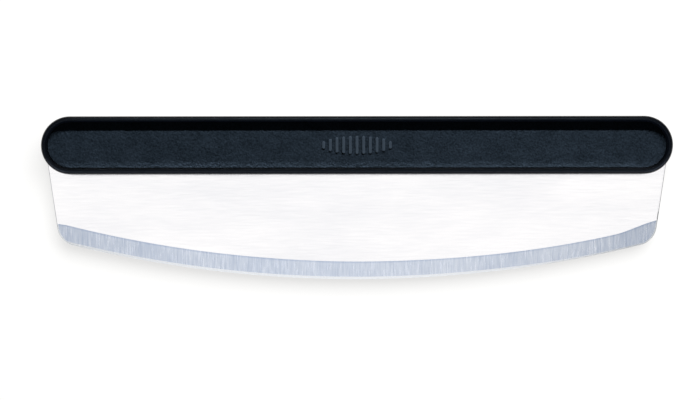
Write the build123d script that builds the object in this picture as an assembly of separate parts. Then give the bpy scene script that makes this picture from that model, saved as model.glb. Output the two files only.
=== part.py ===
from build123d import *
import math
import os

# A rocking pizza knife: one long curved steel blade, clamped by its tang between two
# halves of a slot-shaped nylon handle. The knife lies on its back. X runs along the
# handle, Y from the cutting edge up to the handle's spine, and Z up from the table.
# Every length is in millimetres. The origin is the centre of the knife's footprint.

# Handle outline, a slot shape seen from the front
handle_length = 360.0
handle_height = 33.0

# Layers of one handle half, counted outwards from the blade's face
seat_depth = 7.6
panel_thickness = 1.8
recess_depth = 3.0

# Raised rim of the handle: rounded outer edge, flat crest, slope into the recess
rim_round = 1.9
rim_land = 0.5
rim_slope_run = 0.9
rim_slope_drop = 2.2
parting_break = 0.25

# Inside of a handle half
shell_wall = 5.0
cell_depth = 1.8
rib_thickness = 3.0
ribs_per_screw_gap = 3
boss_wall = 2.25

# Tongue on the front half and groove in the back half
tongue_inset = 1.2
tongue_width = 0.9
tongue_height = 0.8
tongue_clearance = 0.1

# Blade seen from the front
blade_thickness = 1.2
blade_drop = 60.3
blade_inset = 3.1
side_lean_deg = 8.55
edge_radius = 690.0
corner_radius = 12.0

# Ground bevel and honed edge, on both faces of the blade
bevel_width = 10.1
hone_width = 1.4
hone_thickness = 0.5
edge_thickness = 0.12

# Tang hidden in the handle
shoulder_height = 13.0
shoulder_radius = 1.0
tang_top_inset = 4.0
tang_end_inset = 12.0
tang_corner_radius = 9.0
tang_clearance = 0.15

# Grip panels, seated in the recess on both sides
panel_gap = 0.15
panel_edge_round = 0.3
peg_radius = 1.5
peg_length = 1.5
peg_end_gap = 0.2
peg_side_gap = 0.05
peg_place_shares = (0.25, 0.75)

# Raised thumb ribs at the middle of each grip panel
thumb_rib_count = 11
longest_thumb_rib = 10.4
thumb_rib_width = 1.7
thumb_rib_pitch = 3.8
thumb_rib_rise = 0.5
thumb_rib_round = 0.2

# Machine screws, put in from the back and hidden under the back grip panel
screw_count = 5
screw_end_inset = 40.0
screw_radius = 2.0
screw_thread_pitch = 0.7
screw_thread_depth = 0.36
screw_head_radius = 4.0
screw_head_height = 2.6
screw_head_round = 0.9
screw_socket_radius = 1.45
screw_socket_depth = 1.4
screw_head_gap = 0.2
screw_hole_gap = 0.25
screw_engagement_share = 0.82

# Washers under the screw heads
washer_radius = 4.5
washer_thickness = 0.8
washer_gap = 0.25

# Threaded inserts in the front half
insert_wall = 0.85
insert_groove_depth = 0.35
insert_bore_gap = 0.05
insert_side_gap = 0.02
insert_recess = 0.1
insert_end_gap = 0.45
insert_skin = 1.2
insert_groove_shares = (0.4, 0.6)

# Dowels that line the halves up with the tang
dowel_radius = 2.0
dowel_reach = 4.9
dowel_break = 0.3
dowel_side_gap = 0.03
dowel_end_gap = 0.15
dowel_place_share = 0.5

# How far a cutter runs past the face that it cuts
overrun = 1.0

# Heights above the middle plane, at which the layers of a handle half meet
blade_face = blade_thickness / 2
cell_roof = blade_face + cell_depth
pocket_floor = blade_face + seat_depth
panel_face = pocket_floor + panel_thickness
half_thickness = panel_face + recess_depth

# Places in the knife's frame
total_height = handle_height + blade_drop
handle_axis_y = total_height / 2 - handle_height / 2
handle_foot_y = handle_axis_y - handle_height / 2
edge_low_y = handle_foot_y - blade_drop
edge_centre_y = edge_low_y + edge_radius
shoulder_y = handle_foot_y + shoulder_height
tang_height = handle_height - tang_top_inset
tang_half_length = handle_length / 2 - tang_end_inset
front_frame = Pos(0, handle_axis_y, half_thickness)
back_frame = front_frame * Rot(180, 0, 0)

# Widths that follow from the rim and the fasteners
rim_width = rim_round + rim_land + rim_slope_run
counterbore_radius = max(washer_radius, screw_head_radius) + washer_gap
boss_radius = counterbore_radius + boss_wall
insert_radius = screw_radius + insert_bore_gap + insert_wall
screw_pitch = (handle_length - 2 * screw_end_inset) / (screw_count - 1)

# Heights of the screw stack, outwards from the middle plane on the back
screw_head_top = pocket_floor - screw_head_gap
screw_head_seat = screw_head_top - screw_head_height
washer_seat = screw_head_seat - washer_thickness

# Depths of the threaded inserts, outwards from the middle plane on the front
insert_foot = blade_face + insert_recess
insert_top = pocket_floor - insert_skin - insert_end_gap
insert_length = insert_top - insert_foot


def spread(count, pitch):
    """Places of evenly pitched copies, centred on zero."""
    return [(i - (count - 1) / 2) * pitch for i in range(count)]


# Places along the handle: dowels and pegs lie at shares of the way from one screw to the next
screw_places = spread(screw_count, screw_pitch)
dowel_places = [side * (screw_places[-1] - dowel_place_share * screw_pitch) for side in (-1, 1)]
peg_places = [x + share * screw_pitch for x in screw_places[:-1] for share in peg_place_shares]


def slot_face(inset):
    """The handle's outline, drawn in by inset on every side."""
    return SlotOverall(handle_length - 2 * inset, handle_height - 2 * inset)


def slot_block(inset, low, high):
    """A block with the handle's outline, drawn in by inset, from one height to another."""
    return Pos(0, 0, low) * extrude(slot_face(inset), high - low)


def rod(radius, low, high, x=0):
    """An upright cylinder from one height to another."""
    return Pos(x, 0, low) * extrude(Circle(radius), high - low)


def rods(radius, low, high, places):
    """One upright cylinder at each place along X."""
    return Compound([rod(radius, low, high, x) for x in places])


def turned(points):
    """A solid of revolution about Z, from (radius, height) points."""
    return revolve(Plane.XZ * make_face(Polyline(*points, close=True)), Axis.Z)


def core_cells():
    """The hollows between ribs and bosses, as one cutter for a handle half."""
    cells = slot_block(shell_wall, -overrun, cell_roof)
    rib_pitch = screw_pitch / ribs_per_screw_gap
    rib_count = 2 * int(handle_length / 2 / rib_pitch) + 1
    for x in spread(rib_count, rib_pitch):
        cells -= Pos(x, 0, 0) * Box(rib_thickness, handle_height, 2 * half_thickness)
    cells -= Box(handle_length, rib_thickness, 2 * half_thickness)
    for x in screw_places + dowel_places:
        cells -= rod(boss_radius, -2 * overrun, half_thickness, x)
    return cells


def half_shell():
    """One handle half, outwards from the parting plane, before the cuts that differ by side."""
    blank = slot_block(0, 0, half_thickness)
    blank = fillet(blank.edges().group_by(Axis.Z)[-1], rim_round)
    blank = chamfer(blank.edges().group_by(Axis.Z)[0], parting_break)
    blank -= slot_block(rim_width, pocket_floor, half_thickness + overrun)
    slope_foot = Pos(0, 0, half_thickness - rim_slope_drop) * slot_face(rim_width)
    slope_crest = Pos(0, 0, half_thickness) * slot_face(rim_width - rim_slope_run)
    blank -= loft([slope_foot, slope_crest], ruled=True)
    blank -= core_cells()
    blank -= rods(peg_radius + peg_side_gap, pocket_floor - peg_length - peg_end_gap,
                  pocket_floor + overrun, peg_places)
    dowel_hole_top = dowel_reach + blade_face + dowel_end_gap
    blank -= rods(dowel_radius + dowel_side_gap, -overrun, dowel_hole_top, dowel_places)
    return blank


def tongue(clearance):
    """The locating tongue along the spine, grown by clearance for its groove."""
    ring = slot_face(tongue_inset - clearance)
    ring -= slot_face(tongue_inset + tongue_width + clearance)
    ring &= Pos(0, handle_height / 2) * Rectangle(handle_length, handle_height)
    return extrude(ring, -(tongue_height + clearance))


def blade_outline(grown=0.0):
    """The blade's front view, with its tang; grown widens the tang's seat in the handle."""
    lean = math.tan(math.radians(side_lean_deg))
    half_at_foot = handle_length / 2 - blade_inset + grown
    half_at_shoulder = half_at_foot + shoulder_height * lean
    half_at_low = half_at_foot - blade_drop * lean
    sides = Polyline(
        (half_at_shoulder, shoulder_y + grown),
        (half_at_low, edge_low_y),
        (-half_at_low, edge_low_y),
        (-half_at_shoulder, shoulder_y + grown),
        close=True,
    )
    plate = make_face(sides) & Pos(0, edge_centre_y) * Circle(edge_radius)
    plate = fillet(plate.vertices().group_by(Axis.Y)[0], corner_radius)
    plate = fillet(plate.vertices().group_by(Axis.Y)[-1], shoulder_radius)
    tang_width = 2 * (tang_half_length + grown)
    tang_face = Rectangle(tang_width, tang_height + grown, align=(Align.CENTER, Align.MIN))
    tang_face = fillet(tang_face.vertices().group_by(Axis.Y)[-1], tang_corner_radius)
    return plate + Pos(0, handle_foot_y) * tang_face


def ground_disc():
    """The full disc that the blade is a slice of, with its bevel and honed edge."""
    half_hone = hone_thickness / 2
    half_edge = edge_thickness / 2
    bevel_foot = edge_radius - bevel_width
    hone_foot = edge_radius - hone_width
    rim = edge_radius + overrun
    upper = [(0, blade_face), (bevel_foot, blade_face), (hone_foot, half_hone), (edge_radius, half_edge),
             (rim, half_edge)]
    lower = [(radius, -height) for radius, height in reversed(upper)]
    return turned(upper + lower)


def blade():
    """The steel blade with its tang, screw holes and dowel holes."""
    plate = Pos(0, 0, half_thickness) * extrude(blade_outline(), blade_thickness, both=True)
    body = plate & Pos(0, edge_centre_y, half_thickness) * ground_disc()
    holes = rods(screw_radius + screw_hole_gap, -blade_thickness, blade_thickness, screw_places)
    body -= front_frame * holes
    holes = rods(dowel_radius + dowel_side_gap, -blade_thickness, blade_thickness, dowel_places)
    return body - front_frame * holes


def blade_seat():
    """The space that the handle halves leave for the tang and the top of the blade."""
    return Pos(0, 0, half_thickness) * extrude(blade_outline(tang_clearance), blade_face, both=True)


def front_handle_shell():
    """The front half, with blind holes for the threaded inserts, and the tongue."""
    shell = half_shell()
    shell -= rods(insert_radius + insert_side_gap, -overrun, insert_top + insert_end_gap, screw_places)
    shell = front_frame * (shell + tongue(0))
    return shell - blade_seat()


def back_handle_shell():
    """The back half, with stepped holes for the screws and washers, and the groove."""
    shell = half_shell()
    shell -= rods(screw_radius + screw_hole_gap, -overrun, pocket_floor + overrun, screw_places)
    shell -= rods(counterbore_radius, washer_seat, pocket_floor + overrun, screw_places)
    return back_frame * shell - front_frame * tongue(tongue_clearance) - blade_seat()


def thumb_rib(x):
    """One upright thumb rib at a place along the panel; the ribs' ends follow an ellipse."""
    ellipse_half = thumb_rib_count * thumb_rib_pitch / 2
    length = longest_thumb_rib * math.sqrt(1 - (x / ellipse_half) ** 2)
    face = Rot(0, 0, 90) * SlotOverall(length, thumb_rib_width)
    rib = extrude(face, panel_thickness / 2 + thumb_rib_rise)
    rib = fillet(rib.edges().group_by(Axis.Z)[-1], thumb_rib_round)
    return Pos(x, 0, pocket_floor + panel_thickness / 2) * rib


def grip_panel():
    """A slot-shaped grip plate with locating pegs behind and thumb ribs in front."""
    plate = slot_block(rim_width + panel_gap, pocket_floor, panel_face)
    plate = fillet(plate.edges().group_by(Axis.Z)[-1], panel_edge_round)
    plate += rods(peg_radius, pocket_floor - peg_length, pocket_floor + panel_thickness / 2, peg_places)
    for x in spread(thumb_rib_count, thumb_rib_pitch):
        plate += thumb_rib(x)
    return plate


def threaded_shank(low, high):
    """Points of a screw's shank, tip first, with one sharp ring for each thread turn."""
    turns = int((high - low) / screw_thread_pitch)
    root = screw_radius - screw_thread_depth
    points = [(0, low), (root, low)]
    for i in range(turns):
        foot = low + i * screw_thread_pitch
        points += [(screw_radius, foot + screw_thread_pitch / 2), (root, foot + screw_thread_pitch)]
    return points + [(root, high), (0, high)]


def handle_screw():
    """A pan-head machine screw, head outwards, with a hexagon socket."""
    tip = -(insert_foot + insert_length * screw_engagement_share)
    head = rod(screw_head_radius, screw_head_seat, screw_head_top)
    head = fillet(head.edges().group_by(Axis.Z)[-1], screw_head_round)
    shank = turned(threaded_shank(tip, screw_head_seat + screw_head_height / 2))
    socket_face = Pos(0, 0, screw_head_top - screw_socket_depth) * RegularPolygon(screw_socket_radius, 6)
    return head + shank - extrude(socket_face, screw_socket_depth + overrun)


def screw_washer():
    """A flat washer that spreads the load of a screw head."""
    ring = rod(washer_radius, washer_seat, screw_head_seat)
    return ring - rod(screw_radius + screw_hole_gap, washer_seat - overrun, screw_head_seat + overrun)


def threaded_insert():
    """A round insert with a groove between its two gripping bands."""
    bore = screw_radius + insert_bore_gap
    waist = insert_radius - insert_groove_depth
    groove_low, groove_high = [insert_foot + share * insert_length for share in insert_groove_shares]
    return turned([
        (bore, insert_foot), (insert_radius, insert_foot), (insert_radius, groove_low), (waist, groove_low),
        (waist, groove_high), (insert_radius, groove_high), (insert_radius, insert_top), (bore, insert_top),
    ])


def locating_dowel():
    """A plain dowel with broken ends, through the tang and into both halves."""
    reach = blade_face + dowel_reach
    pin = rod(dowel_radius, -reach, reach)
    return chamfer(pin.edges().group_by(Axis.Z)[0] + pin.edges().group_by(Axis.Z)[-1], dowel_break)


def copies(piece, places):
    """Separate copies of a fastener, one at each place along X."""
    return Compound([Pos(x, 0, 0) * piece for x in places])


parts = {
    "blade": blade(),
    "front_handle_shell": front_handle_shell(),
    "back_handle_shell": back_handle_shell(),
    "front_grip_panel": front_frame * grip_panel(),
    "back_grip_panel": back_frame * grip_panel(),
    "handle_screws": back_frame * copies(handle_screw(), screw_places),
    "screw_washers": back_frame * copies(screw_washer(), screw_places),
    "threaded_inserts": front_frame * copies(threaded_insert(), screw_places),
    "locating_dowels": front_frame * copies(locating_dowel(), dowel_places),
}

os.makedirs("parts", exist_ok=True)
for name, shape in parts.items():
    export_step(shape, f"parts/{name}.step")
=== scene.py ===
import math

import bmesh
import bpy
import numpy as np
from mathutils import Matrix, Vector


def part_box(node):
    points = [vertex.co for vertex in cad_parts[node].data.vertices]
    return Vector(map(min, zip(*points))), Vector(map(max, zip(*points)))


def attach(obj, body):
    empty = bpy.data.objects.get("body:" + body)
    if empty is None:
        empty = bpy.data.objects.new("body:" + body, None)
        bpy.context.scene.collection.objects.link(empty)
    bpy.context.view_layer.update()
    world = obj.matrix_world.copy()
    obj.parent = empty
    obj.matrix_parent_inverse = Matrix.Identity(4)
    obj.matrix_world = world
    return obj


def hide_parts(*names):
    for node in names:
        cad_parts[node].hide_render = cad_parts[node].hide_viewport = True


# The looks of a rocking pizza knife that lies on its back. Everything is in metres, in the
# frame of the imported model: X along the handle, Y from the cutting edge up to the spine,
# Z towards the viewer.

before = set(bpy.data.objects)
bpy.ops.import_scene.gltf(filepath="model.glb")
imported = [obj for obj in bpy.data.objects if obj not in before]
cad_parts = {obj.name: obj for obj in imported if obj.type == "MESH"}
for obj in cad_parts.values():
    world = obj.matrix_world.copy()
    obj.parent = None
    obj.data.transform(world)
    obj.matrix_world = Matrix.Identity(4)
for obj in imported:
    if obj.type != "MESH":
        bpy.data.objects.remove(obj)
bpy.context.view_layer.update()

# Sizes read from the frame
shell_low, shell_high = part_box("front_handle_shell")
blade_low, blade_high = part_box("blade")
parting_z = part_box("back_handle_shell")[1].z
handle_length = shell_high.x - shell_low.x
handle_height = shell_high.y - shell_low.y
handle_y = (shell_high.y + shell_low.y) / 2
foot_y = shell_low.y
edge_low_y = blade_low.y
tang_top_y = blade_high.y
blade_half = (blade_high.z - blade_low.z) / 2
half_thickness = shell_high.z - parting_z

# Handle rim, from the outer edge inwards
rim_round = 0.0019
rim_land = 0.0005
slope_run = 0.0009
slope_drop = 0.0022
recess_depth = 0.0030
parting_break = 0.00025
moulded_ease = 0.00018

# Where the rim is rubbed, and how wide, as shares of its round
rub_place = 0.6
rub_width = 0.5

# Grip panel, and its grain of two sizes of pebbles
panel_thickness = 0.0018
panel_gap = 0.00015
panel_edge_round = 0.0003
panel_foot_round = 0.0001
panel_edge_rub = 0.6
panel_round_start, grain_fade_end = 1.5, 4
grain_pitch = 0.0008
grain_height = 0.000080
grain_step = 0.00036
small_pebbles, large_pebbles = 0.8, 0.6
large_pebble_ratio = 1.9
pebble_lattice = (701, 97)

# Thumb ribs on the panel
rib_count = 11
rib_pitch = 0.0038
rib_width = 0.0017
longest_rib = 0.0104
rib_rise = 0.0005
rib_round = 0.0002
rib_root = 0.0004
rib_rub_power = 3

# Blade outline, bevel and honed edge
blade_inset = 0.0031
side_lean = math.radians(8.55)
edge_radius = 0.690
corner_radius = 0.0120
bevel_width = 0.0101
hone_width = 0.0014
hone_half = 0.00025
edge_half = 0.00006
bend_depth = 0.0160
edge_ease_share = 0.5
edge_squareness = 0.6
bevel_end_x = 0.1725

# How the hand grinding wanders from the even bevel, by place along the blade
left_widening = 0.00025
left_widening_span = (0.0, 0.0600)
left_dip = 0.0006
left_dip_span = (0.1655, 0.1725)
right_narrowing = 0.0010
right_narrowing_span = (0.0200, 0.1450)
right_flare = 0.0023
right_flare_span = (0.1460, 0.1700)
hone_narrowing = 0.0006
hone_narrowing_span = (0.0600, 0.1400)
corner_hone = 0.00085
longest_corner_gap = 0.0018
flattest_turn = 0.01

# Tang and its seat between the handle halves
shoulder_height = 0.0130
shoulder_slope = 0.0003
shoulder_ease = 0.0010
tang_end_inset = 0.0120
tang_corner = 0.0090
seat_inset = 0.00385
seat_gap = 0.00015

# Steps that each shape is cut into
shell_arc_steps = 8
shell_run_steps, shell_bend_steps = 80, 48
plate_arc_steps = 4
rib_arc_steps = 6
rib_run_steps, rib_bend_steps = 10, 16
blade_columns = 353
end_strip_share = 0.0028
hone_steps, bevel_steps, upper_steps = 5, 14, 8
between_steps, shoulder_steps, tang_corner_steps = 11, 4, 8
edge_strip_steps = 8

# Rows of the blade's sheet where the honed edge and the bevel end, and its materials
hone_row = hone_steps
foot_row = hone_steps + bevel_steps
cheek_kind, bevel_kind, hone_kind, cut_kind = range(4)

# Distances that count as nothing, and the share of the thickness that counts as all of it
cut_half_gap = 1e-7
merge_distance = 1e-6
shortest_edge = 1e-7
level_slack = 1e-9
full_thickness_share = 0.999

# What the nylon's and the steel's patterns are mixed from
noise_span = (0.3, 0.7)
noise_core = (0.35, 0.65)
cloud_scale, cloud_weight, pebble_weight = 90.0, 0.3, 0.7
speck_scale_share, speck_span, speck_strength = 0.6, (0.62, 0.72), 0.5
rub_scale, rub_range, rub_smoothing = 260.0, (0.35, 1.0), 0.24
line_weight, band_weight = 0.55, 0.45
band_across, band_along = 0.7, 0.6
scratch_across, scratch_along, scratch_span = 1.5, 0.25, (0.72, 0.82)
# The span of the bevel's share that the painted shade at its foot covers
foot_shade_span = (0.86, 1.0)
contrast_span, brightness_span = (0.02, 0.13), (0.03, 0.17)
anisotropy = 0.55

panel_face = half_thickness - recess_depth
pocket_floor = panel_face - panel_thickness
rim_width = rim_round + rim_land + slope_run


# Shapes

def eased(corners, radii, steps):
    """A profile through corners with each one rounded: an arc of the given radius touches both
    sides, and a zero radius keeps the corner sharp."""
    corners = np.array(corners, float)
    profile = [corners[:1]]
    for before, corner, after, radius in zip(corners, corners[1:], corners[2:], radii):
        if radius == 0:
            profile.append(corner[None])
            continue
        back = (before - corner) / np.linalg.norm(before - corner)
        on = (after - corner) / np.linalg.norm(after - corner)
        half = math.acos(np.clip(back @ on, -1, 1)) / 2
        middle = corner + (back + on) / np.linalg.norm(back + on) * radius / math.sin(half)
        first = corner + back * radius / math.tan(half) - middle
        last = corner + on * radius / math.tan(half) - middle
        share = np.linspace(0, 1, steps + 1)[:, None]
        sweep = math.pi - 2 * half
        arc = np.sin((1 - share) * sweep) * first + np.sin(share * sweep) * last
        profile.append(middle + arc / math.sin(sweep))
    profile.append(corners[-1:])
    return np.concatenate(profile)


def slot_stations(length, height, run_steps, bend_steps, cuts=()):
    """Stations anticlockwise round a slot outline, from the left end of its lower side: the place
    on the middle line that each belongs to, and the angle at which it looks outwards. Each cut is
    an angle on the right bend that gets two stations, and so does its mirror on the left."""
    half = (length - height) / 2
    run = np.linspace(-half, half, run_steps + 1)
    pair = np.array([-cut_half_gap, cut_half_gap])
    bend = np.sort(np.concatenate([np.linspace(-math.pi / 2, math.pi / 2, bend_steps + 1),
                                   *[cut + pair for cut in cuts]]))
    places = [run[:-1], np.full(len(bend) - 1, half), -run[:-1], np.full(len(bend) - 1, -half)]
    angles = [np.full(run_steps, -math.pi / 2), bend[:-1], np.full(run_steps, math.pi / 2),
              math.pi - bend[:0:-1]]
    return np.concatenate(places), np.concatenate(angles)


def carried(stations, radius, insets, heights):
    """A profile of insets and heights carried round a slot outline: each point is the station's
    place on the middle line plus (radius - inset) along the outward angle. Insets and heights
    are one row for all stations, or one row for each."""
    places, angles = (part[:, None] for part in stations)
    reach = radius - insets
    x, y = places + reach * np.cos(angles), reach * np.sin(angles)
    return np.stack(np.broadcast_arrays(x, y, heights), 2)


def ring_faces(stations, rows):
    """Four-cornered faces of a grid that closes along its stations."""
    here = np.arange(stations)[:, None] * rows + np.arange(rows - 1)[None]
    there = np.roll(np.arange(stations), -1)[:, None] * rows + np.arange(rows - 1)[None]
    return np.stack([here, here + 1, there + 1, there], 2).reshape(-1, 4)


def sheet_faces(rows, columns):
    """Four-cornered faces of an open grid, row by row."""
    here = (np.arange(rows - 1)[:, None] * columns + np.arange(columns - 1)[None]).ravel()
    return np.stack([here, here + columns, here + columns + 1, here + 1], 1)


def smooth_step(low, high, x):
    """Zero below low, one above high, and a smooth ramp of 3t^2 - 2t^3 between."""
    t = np.clip((x - low) / (high - low), 0, 1)
    return t * t * (3 - 2 * t)


def pebbles(x, y, pitch, seed):
    """Smooth random heights from -1 to 1: random values on a square lattice, joined by ramps."""
    columns, rows = pebble_lattice
    values = np.random.default_rng(seed).uniform(-1, 1, (columns, rows))
    across, up = x / pitch + columns // 2, y / pitch + rows // 2
    i, j = np.floor(across).astype(int), np.floor(up).astype(int)
    s, t = smooth_step(0, 1, across - i), smooth_step(0, 1, up - j)
    low = values[i, j] * (1 - s) + values[i + 1, j] * s
    high = values[i, j + 1] * (1 - s) + values[i + 1, j + 1] * s
    return low * (1 - t) + high * t


def make_piece(name, points, faces, materials, kinds=None, shares=None, creases=None,
               turned_over=False, flats_rule=True):
    """One closed, smooth-shaded piece from arrays of points and four-cornered faces. Points that
    coincide are merged, kinds gives each face its material, shares is kept on the mesh as a
    number for each point, and edges within one crease stay sharp."""
    points = points.reshape(-1, 3).copy()
    if turned_over:
        points[:, 2] *= -1
        faces = faces[:, ::-1]
    points += (0, 0, parting_z)
    mesh = bpy.data.meshes.new(name)
    mesh.from_pydata(points.tolist(), [], faces.tolist())
    if shares is not None:
        mesh.attributes.new("share", "FLOAT", "POINT").data.foreach_set("value", shares.ravel())
    if creases is not None:
        crease_rows = mesh.attributes.new("crease_row", "INT", "POINT")
        crease_rows.data.foreach_set("value", creases.ravel())
    if kinds is not None:
        mesh.polygons.foreach_set("material_index", kinds)
    merged = bmesh.new()
    merged.from_mesh(mesh)
    bmesh.ops.remove_doubles(merged, verts=merged.verts, dist=merge_distance)
    bmesh.ops.dissolve_degenerate(merged, edges=merged.edges, dist=shortest_edge)
    merged.to_mesh(mesh)
    merged.free()
    mesh.polygons.foreach_set("use_smooth", np.ones(len(mesh.polygons), bool))
    if creases is not None:
        rows = np.zeros(len(mesh.vertices), np.int32)
        mesh.attributes["crease_row"].data.foreach_get("value", rows)
        ends = np.zeros(len(mesh.edges) * 2, np.int32)
        mesh.edges.foreach_get("vertices", ends)
        first, last = rows[ends[::2]], rows[ends[1::2]]
        mesh.edges.foreach_set("use_edge_sharp", (first > 0) & (first == last))
        mesh.attributes.remove(mesh.attributes["crease_row"])
    mesh.update()
    for material in materials:
        mesh.materials.append(material)
    piece = bpy.data.objects.new(name, mesh)
    bpy.context.scene.collection.objects.link(piece)
    if flats_rule:
        even = piece.modifiers.new("flats_rule", "WEIGHTED_NORMAL")
        even.keep_sharp = True
    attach(piece, "root")
    return piece


# Materials

def new_material(name, colour):
    """An empty recipe: the material, its node tree, its surface shader and Object coordinates."""
    material = bpy.data.materials.new(name)
    material.use_nodes = True
    material.diffuse_color = (*colour, 1)
    tree = material.node_tree
    shader = tree.nodes["Principled BSDF"]
    place = tree.nodes.new("ShaderNodeTexCoord").outputs["Object"]
    return material, tree, shader, place


def stretched(tree, place, scale):
    """The place with each axis multiplied by its own scale, so that a pattern gets a direction."""
    mapping = tree.nodes.new("ShaderNodeMapping")
    mapping.inputs["Scale"].default_value = scale
    tree.links.new(place, mapping.inputs["Vector"])
    return mapping.outputs["Vector"]


def grain(tree, place, scale, detail):
    """Smooth noise from 0 to 1, scale to the metre."""
    noise = tree.nodes.new("ShaderNodeTexNoise")
    noise.inputs["Scale"].default_value = scale
    noise.inputs["Detail"].default_value = detail
    tree.links.new(place, noise.inputs["Vector"])
    return noise.outputs["Fac"]


def ranged(tree, value, span, new_low, new_high):
    """A value within a span, carried to the new range and held within it."""
    made = tree.nodes.new("ShaderNodeMapRange")
    for socket, number in (("From Min", span[0]), ("From Max", span[1]),
                           ("To Min", new_low), ("To Max", new_high)):
        made.inputs[socket].default_value = number
    tree.links.new(value, made.inputs["Value"])
    return made.outputs["Result"]


def sums(tree, operation, one, other):
    """Arithmetic on two values, of which the second may be a plain number."""
    made = tree.nodes.new("ShaderNodeMath")
    made.operation = operation
    tree.links.new(one, made.inputs[0])
    if isinstance(other, (int, float)):
        made.inputs[1].default_value = other
    else:
        tree.links.new(other, made.inputs[1])
    return made.outputs[0]


def blended(tree, share, dark, light):
    """A colour between dark and light, each of them a plain colour or another blend."""
    made = tree.nodes.new("ShaderNodeMix")
    made.data_type = "RGBA"
    tree.links.new(share, made.inputs["Factor"])
    for socket, colour in ((made.inputs[6], dark), (made.inputs[7], light)):
        if isinstance(colour, tuple):
            socket.default_value = (*colour, 1)
        else:
            tree.links.new(colour, socket)
    return made.outputs[2]


def bumped(tree, shader, height, depth):
    """Relief from a height of 0 to 1, depth metres tall."""
    bump = tree.nodes.new("ShaderNodeBump")
    bump.inputs["Distance"].default_value = depth
    tree.links.new(height, bump.inputs["Height"])
    tree.links.new(bump.outputs["Normal"], shader.inputs["Normal"])


def own_share(tree):
    """The number that the mesh keeps for each point."""
    attribute = tree.nodes.new("ShaderNodeAttribute")
    attribute.attribute_name = "share"
    return attribute.outputs["Fac"]


def distance_from_middle(tree, place):
    """How far along the handle a place lies from the knife's middle, in metres."""
    split = tree.nodes.new("ShaderNodeSeparateXYZ")
    tree.links.new(place, split.inputs[0])
    return sums(tree, "ABSOLUTE", split.outputs["X"], 0.0)


def moulded_nylon(name, dark, light, worn, rough, shine, pebble_scale, pebble_depth):
    """Filled nylon from a mould: fine pebbles in relief, cloudy colour, paler specks where filler
    shows, and edges that are rubbed smoother and paler where share is near one."""
    material, tree, shader, place = new_material(name, dark)
    cloud = grain(tree, place, cloud_scale, detail=3.0)
    pebble = grain(tree, place, pebble_scale, detail=2.0)
    speck = grain(tree, place, pebble_scale * speck_scale_share, detail=1.0)
    speck = ranged(tree, speck, speck_span, 0.0, speck_strength)
    mixed = sums(tree, "ADD", ranged(tree, cloud, noise_core, 0.0, cloud_weight),
                 ranged(tree, pebble, noise_core, 0.0, pebble_weight))
    body = blended(tree, sums(tree, "MAXIMUM", mixed, speck), dark, light)
    uneven = ranged(tree, grain(tree, place, rub_scale, detail=4.0), noise_span, *rub_range)
    rubbed = sums(tree, "MULTIPLY", own_share(tree), uneven)
    tree.links.new(blended(tree, rubbed, body, worn), shader.inputs["Base Color"])
    roughness = ranged(tree, pebble, noise_span, *rough)
    smoother = sums(tree, "SUBTRACT", roughness, sums(tree, "MULTIPLY", rubbed, rub_smoothing))
    tree.links.new(smoother, shader.inputs["Roughness"])
    shader.inputs["Specular IOR Level"].default_value = shine
    bumped(tree, shader, pebble, pebble_depth)
    return material


def ground_steel(name, dark, light, axis, across, along, rough, depth, patch=0.3,
                 patch_scale=(24.0, 24.0, 24.0), scratch=0.0, tangent=None, foot_shade=0.0,
                 end_gain=None):
    """Metal with straight grinding lines along one axis. The lines are noise that is fine across
    them and long along them, by the scales to the metre that across and along give. They vary
    colour, roughness and relief, over cloudy patches that make up the share patch of the colour,
    with a few brighter scratches. Where a tangent turns the highlights, they spread across the
    lines. foot_shade paints shade along the bevel's foot, where it creases into the cheek. end_gain
    holds the pattern's contrast at the middle and at the ends, and how much lighter the middle is
    and how much darker the ends."""
    material, tree, shader, place = new_material(name, light)
    runs = np.array([letter == axis for letter in "XYZ"])

    def streaks(across_share, along_share, detail):
        """Noise that is drawn out along the axis."""
        scale = tuple(np.where(runs, along * along_share, across * across_share))
        return grain(tree, stretched(tree, place, scale), 1.0, detail)

    lines = streaks(1, 1, detail=3.0)
    bands = streaks(band_across, band_along, detail=2.0)
    patches = grain(tree, stretched(tree, place, patch_scale), 1.0, detail=3.0)
    pattern = sums(tree, "ADD", ranged(tree, lines, noise_span, 0.0, line_weight * (1 - patch)),
                   ranged(tree, bands, noise_span, 0.0, band_weight * (1 - patch)))
    pattern = sums(tree, "ADD", pattern, ranged(tree, patches, noise_span, 0.0, patch))
    if scratch:
        cuts = streaks(scratch_across, scratch_along, detail=1.0)
        pattern = sums(tree, "MAXIMUM", pattern, ranged(tree, cuts, scratch_span, 0.0, scratch))
    if end_gain:
        middle_gain, far_gain, middle_lift, far_drop = end_gain
        apart = distance_from_middle(tree, place)
        gain = ranged(tree, apart, contrast_span, middle_gain, far_gain)
        level = ranged(tree, apart, brightness_span, 0.5 + middle_lift, 0.5 - far_drop)
        pattern = sums(tree, "MULTIPLY", sums(tree, "SUBTRACT", pattern, 0.5), gain)
        pattern = sums(tree, "ADD", pattern, level)
    # Painted shade: a darker band along the bevel's foot, where it creases into the cheek
    if foot_shade:
        shade = ranged(tree, own_share(tree), foot_shade_span, 0.0, foot_shade)
        pattern = sums(tree, "SUBTRACT", pattern, shade)
    tree.links.new(blended(tree, pattern, dark, light), shader.inputs["Base Color"])
    smooth, dull = rough
    tree.links.new(ranged(tree, lines, noise_span, dull, smooth), shader.inputs["Roughness"])
    shader.inputs["Metallic"].default_value = 1.0
    if tangent is not None:
        shader.inputs["Anisotropic"].default_value = anisotropy
        shader.inputs["Anisotropic Rotation"].default_value = tangent
        way = tree.nodes.new("ShaderNodeTangent")
        way.direction_type = "UV_MAP"
        way.uv_map = "grinding"
        tree.links.new(way.outputs["Tangent"], shader.inputs["Tangent"])
    bumped(tree, shader, sums(tree, "ADD", lines, bands), depth)
    return material


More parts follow.
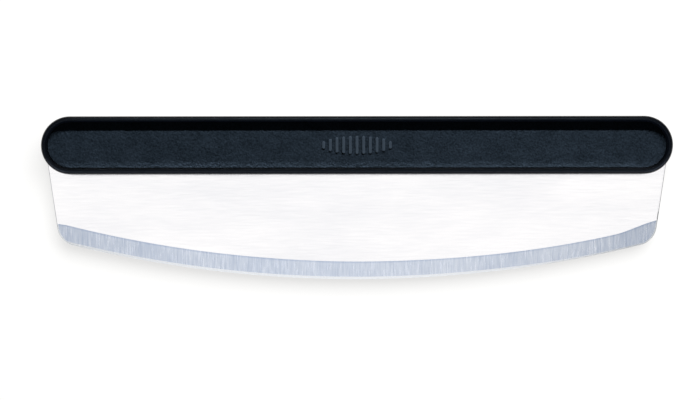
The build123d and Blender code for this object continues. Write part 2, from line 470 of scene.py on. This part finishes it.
shell_nylon = moulded_nylon(
    "satin_handle_nylon", dark=(0.0042, 0.0058, 0.0096), light=(0.0074, 0.0100, 0.0160),
    worn=(0.010, 0.012, 0.016), rough=(0.42, 0.50), shine=0.40,
    pebble_scale=2600.0, pebble_depth=0.000012)
grip_nylon = moulded_nylon(
    "pebbled_grip_nylon", dark=(0.0035, 0.0095, 0.0168), light=(0.0225, 0.0365, 0.0548),
    worn=(0.022, 0.030, 0.040), rough=(0.70, 0.86), shine=0.15,
    pebble_scale=1100.0, pebble_depth=0.000200)
rib_nylon = moulded_nylon(
    "rubbed_rib_nylon", dark=(0.0390, 0.0570, 0.0810), light=(0.0490, 0.0700, 0.0970),
    worn=(0.058, 0.080, 0.108), rough=(0.62, 0.74), shine=0.12,
    pebble_scale=2600.0, pebble_depth=0.000008)

cheek_steel = ground_steel(
    "brushed_cheek_steel", dark=(0.800, 0.798, 0.820), light=(0.938, 0.923, 0.924),
    axis="X", across=1300.0, along=110.0, rough=(0.10, 0.15), depth=0.0000010,
    patch=0.60, patch_scale=(14.0, 50.0, 50.0), tangent=0.25)
cut_steel = ground_steel(
    "blanked_edge_steel", dark=(0.40, 0.41, 0.43), light=(0.56, 0.57, 0.59),
    axis="Z", across=2600.0, along=200.0, rough=(0.40, 0.55), depth=0.0000040)
# The bevel's darker blue-grey colour is partly its coarser grind and partly painted reflection of
# the darker studio that its tilted face looks at
bevel_steel = ground_steel(
    "ground_bevel_steel", dark=(0.455, 0.535, 0.685), light=(0.81, 0.845, 0.915),
    axis="Y", across=1900.0, along=110.0, rough=(0.26, 0.36), depth=0.0000035,
    scratch=0.45, tangent=0.0, foot_shade=0.50, end_gain=(0.60, 1.10, 0.07, 0.02))
hone_steel = ground_steel(
    "honed_edge_steel", dark=(0.765, 0.79, 0.82), light=(0.83, 0.85, 0.875),
    axis="Y", across=2200.0, along=90.0, rough=(0.22, 0.26), depth=0.0000015, tangent=0.0)
fastener_steel = ground_steel(
    "plated_fastener_steel", dark=(0.50, 0.51, 0.53), light=(0.66, 0.67, 0.68),
    axis="Z", across=3200.0, along=400.0, rough=(0.26, 0.38), depth=0.0000020, scratch=0.7)
insert_brass = ground_steel(
    "turned_insert_brass", dark=(0.58, 0.40, 0.15), light=(0.78, 0.58, 0.26),
    axis="X", across=3200.0, along=400.0, rough=(0.24, 0.36), depth=0.0000025, scratch=0.6)


# Handle halves

def shell_profile():
    """One half in section, as (inset, height over the parting plane): out along the recess
    floor, up its wall and slope, over the crest, down the rounded outside and in along the
    parting face."""
    middle = handle_height / 2
    corners = [(middle, pocket_floor), (rim_width, pocket_floor),
               (rim_width, half_thickness - slope_drop), (rim_width - slope_run, half_thickness),
               (0, half_thickness), (0, 0), (seat_inset, 0), (seat_inset, blade_half),
               (middle, blade_half)]
    radii = [moulded_ease, moulded_ease, moulded_ease, rim_round, parting_break, 0, 0]
    return eased(corners, radii, shell_arc_steps)


def handle_half(name, turned_over):
    """The section carried round the handle's outline. Up to the angle where the blade's side
    enters the outline, the parting face is raised to the blade's face. From there to the
    shoulder, the seat's wall follows the blade's side: along an outward angle it lies at the
    radius where that angle's ray meets the side's straight line."""
    radius = handle_height / 2
    lean = math.tan(side_lean)
    side_x = radius - blade_inset + seat_gap
    flat = radius - side_x * lean
    exit_height = (flat - math.sqrt(flat**2 - (1 + lean**2) * side_x**2)) / (1 + lean**2)
    exit_angle = math.asin(exit_height / radius - 1)
    shoulder_angle = math.asin((shoulder_height + seat_gap) / radius - 1)
    stations = slot_stations(handle_length, handle_height, shell_run_steps, shell_bend_steps,
                             cuts=[exit_angle, shoulder_angle])
    across = np.abs(np.cos(stations[1]))
    up = np.sin(stations[1])
    profile = shell_profile()
    insets = np.tile(profile[:, 0], (len(up), 1))
    heights = np.tile(profile[:, 1], (len(up), 1))
    opened = up < math.sin(exit_angle)
    heights[opened] = np.maximum(heights[opened], blade_half)
    beside = (~opened) & (up < math.sin(shoulder_angle))
    wall = radius - (side_x + radius * lean) / (across - lean * up)
    seat_rows = profile[:, 0] == seat_inset
    insets[np.ix_(beside, seat_rows)] = wall[beside, None]
    points = carried(stations, radius, insets, heights)
    points[..., 1] += handle_y
    crest = np.exp(-((profile[:, 0] - rim_round * rub_place) / (rim_round * rub_width)) ** 2)
    crest *= profile[:, 1] > half_thickness - rim_round
    shares = np.ascontiguousarray(np.broadcast_to(crest, points.shape[:2]))
    return make_piece(name, points, ring_faces(*points.shape[:2]), [shell_nylon],
                      shares=shares, turned_over=turned_over)


front_half = handle_half("front_handle_half", turned_over=False)
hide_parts("front_handle_shell")
back_half = handle_half("back_handle_half", turned_over=True)
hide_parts("back_handle_shell")


# Grip panels and thumb ribs

def grip_plate(name, turned_over, seed):
    """A slot-shaped plate: in from its rounded edge, its face is a fine grid raised and sunk by
    two sizes of pebbles, which fade out at the edge."""
    inset = rim_width + panel_gap
    length, height = handle_length - 2 * inset, handle_height - 2 * inset
    radius = height / 2
    run_steps = int((length - height) / grain_step)
    stations = slot_stations(length, height, run_steps, int(math.pi * radius / grain_step))
    face_rows = int((radius - panel_edge_round) / grain_step)
    face = np.linspace(radius, panel_edge_round, face_rows + 1)[:-1]
    face = np.stack([face, np.full(face_rows, panel_face)], 1)
    edge = eased([(panel_edge_round * panel_round_start, panel_face), (0, panel_face),
                  (0, pocket_floor), (radius / 2, pocket_floor), (radius, pocket_floor)],
                 [panel_edge_round, panel_foot_round, 0], plate_arc_steps)
    profile = np.concatenate([face, edge[1:]])
    points = carried(stations, radius, profile[:, 0], profile[:, 1])
    x, y = points[..., 0], points[..., 1]
    relief = small_pebbles * pebbles(x, y, grain_pitch, seed)
    relief = relief + large_pebbles * pebbles(x, y, grain_pitch * large_pebble_ratio, seed + 1)
    faded = smooth_step(panel_edge_round, panel_edge_round * grain_fade_end, profile[:, 0])
    faded = faded * (profile[:, 1] > panel_face - level_slack)
    points[..., 2] += grain_height * relief * faded
    points[..., 1] += handle_y
    edge_wear = np.exp(-((profile[:, 0] - panel_edge_round / 2) / panel_edge_round) ** 2)
    edge_wear *= profile[:, 1] > panel_face - panel_edge_round
    shares = np.broadcast_to(edge_wear * panel_edge_rub, points.shape[:2])
    return make_piece(name, points, ring_faces(*points.shape[:2]), [grip_nylon],
                      shares=np.ascontiguousarray(shares), turned_over=turned_over,
                      flats_rule=False)


def thumb_ribs(name, turned_over):
    """Upright slot-shaped ribs with rounded tops: one small section carried round each outline.
    Their lengths follow an ellipse across the row."""
    profile = eased([(rib_width / 2, panel_face - rib_root), (0, panel_face - rib_root),
                     (0, panel_face + rib_rise), (rib_width / 2, panel_face + rib_rise)],
                    [0, rib_round], rib_arc_steps)[::-1]
    places = (np.arange(rib_count) - (rib_count - 1) / 2) * rib_pitch
    lengths = longest_rib * np.sqrt(1 - (places / (rib_count * rib_pitch / 2)) ** 2)
    ribs, faces = [], []
    for place, length in zip(places, lengths):
        stations = slot_stations(length, rib_width, rib_run_steps, rib_bend_steps)
        rib = carried(stations, rib_width / 2, profile[:, 0], profile[:, 1])
        faces.append(ring_faces(*rib.shape[:2]) + sum(r.shape[0] * r.shape[1] for r in ribs))
        ribs.append(np.stack([place - rib[..., 1], rib[..., 0] + handle_y, rib[..., 2]], 2))
    points = np.concatenate([rib.reshape(-1, 3) for rib in ribs])
    shares = np.clip((points[:, 2] - panel_face) / rib_rise, 0, 1) ** rib_rub_power
    return make_piece(name, points, np.concatenate(faces), [rib_nylon],
                      shares=shares, turned_over=turned_over)


front_plate = grip_plate("front_grip_plate", turned_over=False, seed=11)
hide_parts("front_grip_panel")
back_plate = grip_plate("back_grip_plate", turned_over=True, seed=31)
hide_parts("back_grip_panel")
front_ribs = thumb_ribs("front_thumb_ribs", turned_over=False)
back_ribs = thumb_ribs("back_thumb_ribs", turned_over=True)


# Blade

def wandering_widths(x):
    """The bevel's and the honed edge's widths at places along the blade, each the even width with
    smooth steps added or taken away."""
    width = bevel_width + left_widening * smooth_step(*left_widening_span, -x)
    width = width - left_dip * smooth_step(*left_dip_span, -x)
    width = width - right_narrowing * smooth_step(*right_narrowing_span, x)
    width = width + right_flare * smooth_step(*right_flare_span, x)
    return width, hone_width - hone_narrowing * smooth_step(*hone_narrowing_span, x)


def blade_arcs(across):
    """The rows that are arcs about the edge's centre, from the cutting edge up to where the
    bending of the rows begins, as points, depths, and the widths of bevel and hone. Each row's
    depth follows the corner's rounding, so that it ends on the outline. The last column but one
    on either side stands a honed edge's width in from the outline, measured square to it."""
    centre_y = edge_low_y + edge_radius
    half_foot = handle_length / 2 - blade_inset
    side_reach = math.cos(side_lean) * half_foot - math.sin(side_lean) * (foot_y - centre_y)
    corner_reach = edge_radius - corner_radius
    corner_angle = math.asin((side_reach - corner_radius) / corner_reach) - side_lean
    corner_centre = np.array([math.sin(corner_angle), -math.cos(corner_angle)]) * corner_reach
    to_side = corner_radius * np.array([math.cos(side_lean), -math.sin(side_lean)])
    corner_end = np.linalg.norm(corner_centre + to_side)

    def end_angle(radius):
        """The angle at which a row of that radius meets the rounded corner or the straight side."""
        cosine = (radius**2 + corner_reach**2 - corner_radius**2) / (2 * radius * corner_reach)
        on_corner = corner_angle + np.arccos(np.clip(cosine, -1, 1))
        on_side = np.arcsin(side_reach / radius) - side_lean
        return np.where(radius > corner_end, on_corner, on_side)

    width, hone = wandering_widths(across * bevel_end_x)
    hone_turn = math.acos(1 - hone_width / corner_radius)
    foot_turn = math.acos(1 - bevel_width / corner_radius)
    hone_rows = 1 - np.cos(np.linspace(0, hone_turn, hone_steps + 1))
    hone_rows = (hone_rows / hone_rows[-1])[:, None] * hone
    turns = np.linspace(hone_turn, foot_turn, bevel_steps + 1)[1:]
    bevel_rows = math.cos(hone_turn) - np.cos(turns)
    bevel_rows = hone + (bevel_rows / bevel_rows[-1])[:, None] * (width - hone)
    upper_rows = np.linspace(0, 1, upper_steps + 1)[1:, None]
    upper_rows = width + upper_rows * (bend_depth - width)
    depths = np.concatenate([hone_rows, bevel_rows, upper_rows])
    radii = edge_radius - depths
    ends = np.where(across < 0, end_angle(radii[:, :1]), end_angle(radii[:, -1:]))
    outline_turn = np.arccos(1 - np.clip(depths / corner_radius, 0, 1 - math.sin(side_lean)))
    gap = corner_hone / np.maximum(np.sin(outline_turn), flattest_turn)
    gap = np.minimum(gap, longest_corner_gap)
    gap = np.where(across < 0, gap[:, :1], gap[:, -1:])
    inner = np.linspace(-1, 1, across.size - 2)[None] * (1 - gap / (ends * radii))[:, 1:-1]
    outermost = np.ones((len(ends), 1))
    angles = np.concatenate([-outermost, inner, outermost], 1) * ends
    points = np.stack([radii * np.sin(angles), centre_y - radii * np.cos(angles)], 2)
    return points, depths, width, hone


def tang_rows(across):
    """The straight rows above: the side's end, the eased shoulder, its gentle slope in to the
    tang, and the tang's rounded corner up to its top."""
    shoulder_y = foot_y + shoulder_height
    shoulder_half = handle_length / 2 - blade_inset + shoulder_height * math.tan(side_lean)
    tang_half = handle_length / 2 - tang_end_inset
    shoulder_turn = np.linspace(0, math.pi / 2, shoulder_steps + 1)
    corner_turn = np.linspace(0, math.pi / 2, tang_corner_steps + 1)
    y = np.concatenate([shoulder_y - shoulder_ease + shoulder_ease * np.sin(shoulder_turn),
                        [shoulder_y + shoulder_slope],
                        tang_top_y - tang_corner + tang_corner * np.sin(corner_turn)])
    x = np.concatenate([[shoulder_half - shoulder_ease * math.tan(side_lean)],
                        shoulder_half - shoulder_ease + shoulder_ease * np.cos(shoulder_turn[1:]),
                        [tang_half],
                        tang_half - tang_corner + tang_corner * np.cos(corner_turn)])
    return np.stack([x[:, None] * across, y[:, None] + 0 * across], 2)


def blade_sheet():
    """One face of the blade as a grid of rows by columns, from the cutting edge to the tang's top:
    the arcs, rows that turn from the last arc into the first straight line, and the tang. Also
    each point's half thickness, which grows straight from the edge to the hone's end and from
    there to the bevel's foot, and each point's share of the way up the bevel."""
    across = np.linspace(-1, 1, blade_columns)
    across = across * (1 - end_strip_share * (np.abs(across) < 1))
    arcs, depths, width, hone = blade_arcs(across)
    tang = tang_rows(across)
    turned = np.linspace(0, 1, between_steps + 1)[1:-1, None, None]
    between = arcs[-1] * (1 - turned) + tang[0] * turned
    sheet = np.concatenate([arcs, between, tang])
    on_hone = slice(0, hone_row + 1)
    on_bevel = slice(hone_row, foot_row + 1)
    shares = np.zeros(sheet.shape[:2])
    shares[on_bevel] = (depths[on_bevel] - hone) / (width - hone)
    halves = np.full(sheet.shape[:2], blade_half)
    halves[on_hone] = edge_half + (hone_half - edge_half) * (depths[on_hone] / hone)
    halves[on_bevel] = hone_half + (blade_half - hone_half) * shares[on_bevel]
    return sheet, halves, shares


def blade_piece():
    """Both faces of the blade, joined round the outline by an eased edge: a strip whose section
    is a squared-off half round, as wide as a share of the blade's half thickness there."""
    sheet, halves, shares = blade_sheet()
    rows, columns = sheet.shape[:2]
    total = rows * columns
    index = np.arange(total).reshape(rows, columns)
    loop = np.concatenate([index[0, :-1], index[:-1, -1], index[-1, :0:-1], index[:0:-1, 0]])
    flat = sheet.reshape(-1, 2).copy()
    along = np.roll(flat[loop], -1, 0) - np.roll(flat[loop], 1, 0)
    along /= np.linalg.norm(along, axis=1)[:, None]
    outward = np.stack([along[:, 1], -along[:, 0]], 1)
    heights = halves.ravel()
    ease = edge_ease_share * heights[loop]
    flat[loop] -= outward * ease[:, None]
    front = np.concatenate([flat, heights[:, None]], 1)
    back = np.concatenate([flat, -heights[:, None]], 1)
    turn = np.linspace(0, math.pi, edge_strip_steps + 1)[1:-1]
    bulge = np.sin(turn) ** edge_squareness
    level = np.sign(np.cos(turn)) * np.abs(np.cos(turn)) ** edge_squareness
    rim_xy = flat[loop][None] + outward[None] * (ease[None] * bulge[:, None])[..., None]
    rim_z = heights[loop][None] * level[:, None]
    rim = np.concatenate([rim_xy, rim_z[..., None]], 2)
    points = np.concatenate([front, back, rim.reshape(-1, 3)])

    rim_index = 2 * total + np.arange(rim_z.size).reshape(rim_z.shape)
    rings = np.concatenate([loop[None], rim_index, loop[None] + total])
    onward = np.roll(rings, -1, 1)
    faces_rim = np.stack([rings[:-1], rings[1:], onward[1:], onward[:-1]], 2).reshape(-1, 4)
    grid = sheet_faces(rows, columns)
    faces = np.concatenate([grid[:, ::-1], grid + total, faces_rim])

    band = np.repeat(np.arange(rows - 1), columns - 1)
    strip = np.tile(np.arange(columns - 1), rows - 1)
    at_corner = (strip == 0) | (strip == columns - 2)
    on_bevel = (band < foot_row) & ~at_corner
    kinds = np.select([band < hone_row, on_bevel, band < foot_row],
                      [hone_kind, bevel_kind, hone_kind], cheek_kind)
    thinner = heights[loop] < blade_half * full_thickness_share
    rim_kinds = np.where(thinner, hone_kind, cut_kind)
    kinds = np.concatenate([kinds, kinds, np.tile(rim_kinds, len(rings) - 1)]).astype(np.int32)

    grid_rows = np.repeat(np.arange(rows), columns)
    creased = [grid_rows == hone_row, grid_rows == foot_row]
    creases = np.zeros(len(points), np.int32)
    creases[:total] = np.select(creased, [1, 2], 0)
    creases[total:2 * total] = np.select(creased, [3, 4], 0)
    rim_shares = np.broadcast_to(shares.ravel()[loop], rim_z.shape).ravel()
    piece = make_piece("rocking_blade", points, faces,
                       [cheek_steel, bevel_steel, hone_steel, cut_steel], kinds=kinds,
                       shares=np.concatenate([shares.ravel(), shares.ravel(), rim_shares]),
                       creases=creases)

    flat_map = piece.data.uv_layers.new(name="grinding")
    corners = np.zeros(len(piece.data.loops), np.int32)
    piece.data.loops.foreach_get("vertex_index", corners)
    places = np.zeros(len(piece.data.vertices) * 3, np.float32)
    piece.data.vertices.foreach_get("co", places)
    xy = places.reshape(-1, 3)[corners, :2] / handle_length + 0.5
    flat_map.data.foreach_set("uv", np.ascontiguousarray(xy, np.float32).ravel())
    return piece


blade = blade_piece()
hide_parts("blade")


# Fasteners, from the frame

fasteners = {"handle_screws": fastener_steel, "screw_washers": fastener_steel,
             "locating_dowels": fastener_steel, "threaded_inserts": insert_brass}
for node, material in fasteners.items():
    fastener_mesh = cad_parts[node].data
    fastener_mesh.materials.clear()
    fastener_mesh.materials.append(material)


# Floor, lights and camera

def pale_floor():
    """A wide pale table that glows a little, like a light table, so that shadows stay light."""
    reach, drop = 30.0, 1e-5
    corners = [(x * reach, y * reach, -drop) for x, y in ((-1, -1), (1, -1), (1, 1), (-1, 1))]
    mesh = bpy.data.meshes.new("pale_table")
    mesh.from_pydata(corners, [], [(0, 1, 2, 3)])
    floor = bpy.data.objects.new("pale_table", mesh)
    bpy.context.scene.collection.objects.link(floor)
    material = bpy.data.materials.new("pale_table")
    material.use_nodes = True
    shader = material.node_tree.nodes["Principled BSDF"]
    shader.inputs["Base Color"].default_value = (0.12, 0.12, 0.12, 1)
    shader.inputs["Roughness"].default_value = 0.9
    shader.inputs["Specular IOR Level"].default_value = 0.0
    shader.inputs["Emission Color"].default_value = (1, 0.995, 0.985, 1)
    shader.inputs["Emission Strength"].default_value = 0.745
    mesh.materials.append(material)
    return floor


def soft_box(name, place, target, size, power, receivers, tint=(1, 1, 1)):
    """A flat light that looks from place to target and lights only the named group."""
    light = bpy.data.lights.new(name, "AREA")
    light.shape = "RECTANGLE"
    light.size, light.size_y = size
    light.energy = power
    light.color = tint
    box = bpy.data.objects.new(name, light)
    box.location = place
    box.rotation_euler = (Vector(target) - Vector(place)).to_track_quat("-Z", "Y").to_euler()
    box.visible_camera = False
    box.light_linking.receiver_collection = receivers
    bpy.context.scene.collection.objects.link(box)


def group(name, members):
    """Pieces that share their lights."""
    made = bpy.data.collections.new(name)
    for member in members:
        made.objects.link(member)
    return made


table = pale_floor()
shells = group("shell_pieces", [front_half, back_half])
plates = group("plate_pieces", [front_plate, back_plate])
grips = group("grip_pieces", [front_plate, back_plate, front_ribs, back_ribs])
metals = group("metal_pieces", [blade] + [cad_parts[node] for node in fasteners])
table_only = group("table_group", [table])

# Two long strips graze the grip panels from beyond the spine, one low and one higher
handle_point = (0, handle_y, half_thickness)
strip_distance = 1.4
key_x, key_elevation, low_elevation = 0.40, math.radians(27.1), math.radians(5.8)
key_place = (key_x, handle_y + strip_distance * math.cos(key_elevation),
             parting_z + strip_distance * math.sin(key_elevation))
low_place = (0, handle_y + strip_distance, parting_z + strip_distance * math.tan(low_elevation))
soft_box("key_strip", place=key_place, target=(key_x, handle_y, half_thickness),
         size=(1.5, 0.045), power=38, receivers=grips)
soft_box("low_strip", place=low_place, target=handle_point, size=(1.5, 0.10), power=570,
         receivers=plates)

# The rim's round and slope show four soft lights
soft_box("rim_light", place=(0, 0.735, 1.25), target=handle_point, size=(0.6, 0.5), power=1.95,
         receivers=shells, tint=(0.80, 1.0, 1.15))
soft_box("foot_card", place=(0.10, -0.80, 1.15), target=handle_point, size=(3.2, 0.7), power=3.9,
         receivers=shells, tint=(0.76, 0.93, 1.22))
for side, x in (("left", -0.9), ("right", 0.9)):
    soft_box(f"{side}_foot_light", place=(x, -0.85, 1.1), target=handle_point, size=(0.8, 0.8),
             power=2.4, receivers=shells, tint=(0.80, 0.95, 1.18))

# The metals mirror a card overhead, and four more for views from the sides
soft_box("overhead_card", place=(-0.04, -0.4, 1.7), target=(-0.04, -0.4, 0), size=(1.22, 2.6),
         power=10.6, receivers=metals)
for side, x, y, power in (("front", 0, -1, 16), ("back", 0, 1, 16), ("left", -1, 0, 16),
                          ("right", 1, 0, 11)):
    soft_box(f"{side}_card", place=(2 * x, 2 * y, 1.5), target=(0, 0, 0), size=(5.2, 2.2),
             power=power, receivers=metals, tint=(0.94, 0.98, 1.04))

# The table's own light casts the soft shadow to the left of and below the blade
soft_box("table_light", place=(0.62, 1.35, 2.4), target=(0.62, 1.35, 0), size=(2.26, 2.26),
         power=285, receivers=table_only)

# A dim studio lights the knife from all round, and the camera sees it as white
world = bpy.data.worlds.new("pale_studio")
world.use_nodes = True
bpy.context.scene.world = world
nodes, links = world.node_tree.nodes, world.node_tree.links
studio = nodes["Background"]
studio.inputs["Color"].default_value = (0.95, 0.975, 1.0, 1)
studio.inputs["Strength"].default_value = 0.045
backdrop = nodes.new("ShaderNodeBackground")
backdrop.inputs["Color"].default_value = (1, 1, 1, 1)
seen = nodes.new("ShaderNodeMixShader")
links.new(nodes.new("ShaderNodeLightPath").outputs["Is Camera Ray"], seen.inputs["Fac"])
links.new(studio.outputs["Background"], seen.inputs[1])
links.new(backdrop.outputs["Background"], seen.inputs[2])
links.new(seen.outputs["Shader"], nodes["World Output"].inputs["Surface"])

scene = bpy.context.scene
scene.view_settings.view_transform = "Standard"
scene.view_settings.look = "None"

# The camera looks straight down, from where the knife fills the frame as in the photo
camera = bpy.data.objects.new("camera", bpy.data.cameras.new("camera"))
camera.data.lens = 100
camera.data.sensor_width = 36
camera.data.clip_start = 0.01
camera.data.clip_end = 100
camera.location = (-0.0040, -0.00115, 1.1317)
camera.rotation_euler = (0, 0, -0.0010)
scene.collection.objects.link(camera)
scene.camera = camera
